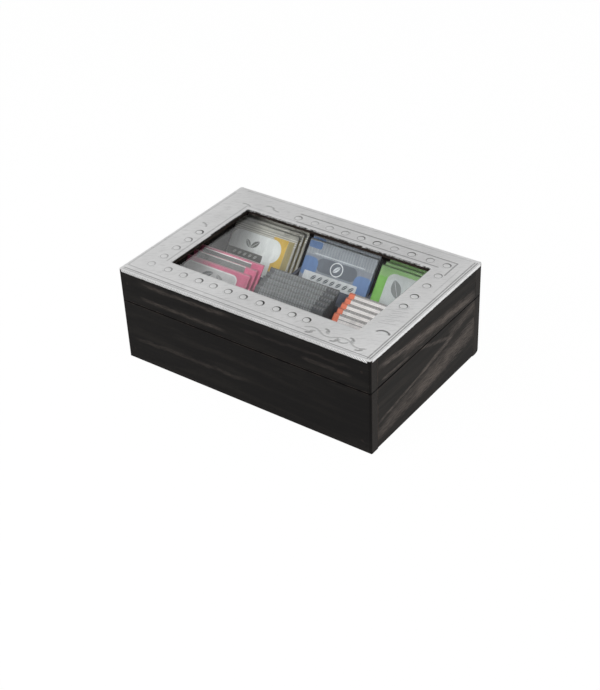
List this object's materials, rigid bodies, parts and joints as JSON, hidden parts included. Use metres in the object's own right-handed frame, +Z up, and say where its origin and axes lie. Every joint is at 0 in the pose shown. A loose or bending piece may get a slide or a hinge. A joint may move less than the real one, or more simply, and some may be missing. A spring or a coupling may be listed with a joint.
{
  "type": "tea bag organizer box",
  "caption": "Dark wooden tea bag box with a hinged lid, a glass window in an embossed metal border, and divided compartments holding leaning paper tea bags.",
  "frame": {"origin": "middle of the box's underside, where it rests on a table", "axes": "+X along the long side to the right, -Y to the front, +Z up to the glass lid"},
  "size_m": [0.24, 0.1654, 0.0855],
  "materials": {
    "ebonised_wood": "dark stained, satin",
    "panel_wood": "dark stained, matte",
    "divider_wood": "dark painted, matte",
    "brad_steel": "blackened",
    "hinge_brass": "satin",
    "embossed_metal": "embossed, soft satin",
    "window_glass": "clear",
    "paper_front_left": "coated paper, pink",
    "paper_front_middle": "coated paper, dark grey",
    "paper_front_right": "coated paper, orange",
    "paper_back_left": "coated paper, yellow and white",
    "paper_back_middle": "coated paper, blue and grey",
    "paper_back_right": "coated paper, green"
  },
  "bodies": {
    "base": {"base_front_board": "ebonised_wood", "base_back_board": "ebonised_wood", "base_left_board": "ebonised_wood", "base_right_board": "ebonised_wood", "base_bottom_panel": "panel_wood", "long_divider": "divider_wood", "cross_divider_left": "divider_wood", "cross_divider_right": "divider_wood", "base_brads": "brad_steel", "hinge_base_leaf_left": "hinge_brass", "hinge_base_leaf_right": "hinge_brass", "hinge_pins": "hinge_brass", "base_hinge_screws": "hinge_brass", "tea_bags_front_left": "paper_front_left", "tea_bags_front_middle": "paper_front_middle", "tea_bags_front_right": "paper_front_right", "tea_bags_back_left": "paper_back_left", "tea_bags_back_middle": "paper_back_middle", "tea_bags_back_right": "paper_back_right"},
    "lid": {"lid_front_board": "ebonised_wood", "lid_back_board": "ebonised_wood", "lid_left_board": "ebonised_wood", "lid_right_board": "ebonised_wood", "lid_frame_front_rail": "ebonised_wood", "lid_frame_back_rail": "ebonised_wood", "lid_frame_left_stile": "ebonised_wood", "lid_frame_right_stile": "ebonised_wood", "embossed_metal_sheet": "embossed_metal", "window_glass": "window_glass", "glass_bead_front": "ebonised_wood", "glass_bead_back": "ebonised_wood", "glass_bead_left": "ebonised_wood", "glass_bead_right": "ebonised_wood", "lid_brads": "brad_steel", "hinge_lid_leaf_left": "hinge_brass", "hinge_lid_leaf_right": "hinge_brass", "lid_hinge_screws": "hinge_brass"}
  },
  "joints": [
    {"name": "lid_hinge", "type": "hinge", "parent": "base", "child": "lid", "pos_m": [0, 0.0822, 0.056], "axis": [-1, 0, 0], "range_deg": [0, 100]}
  ]
}
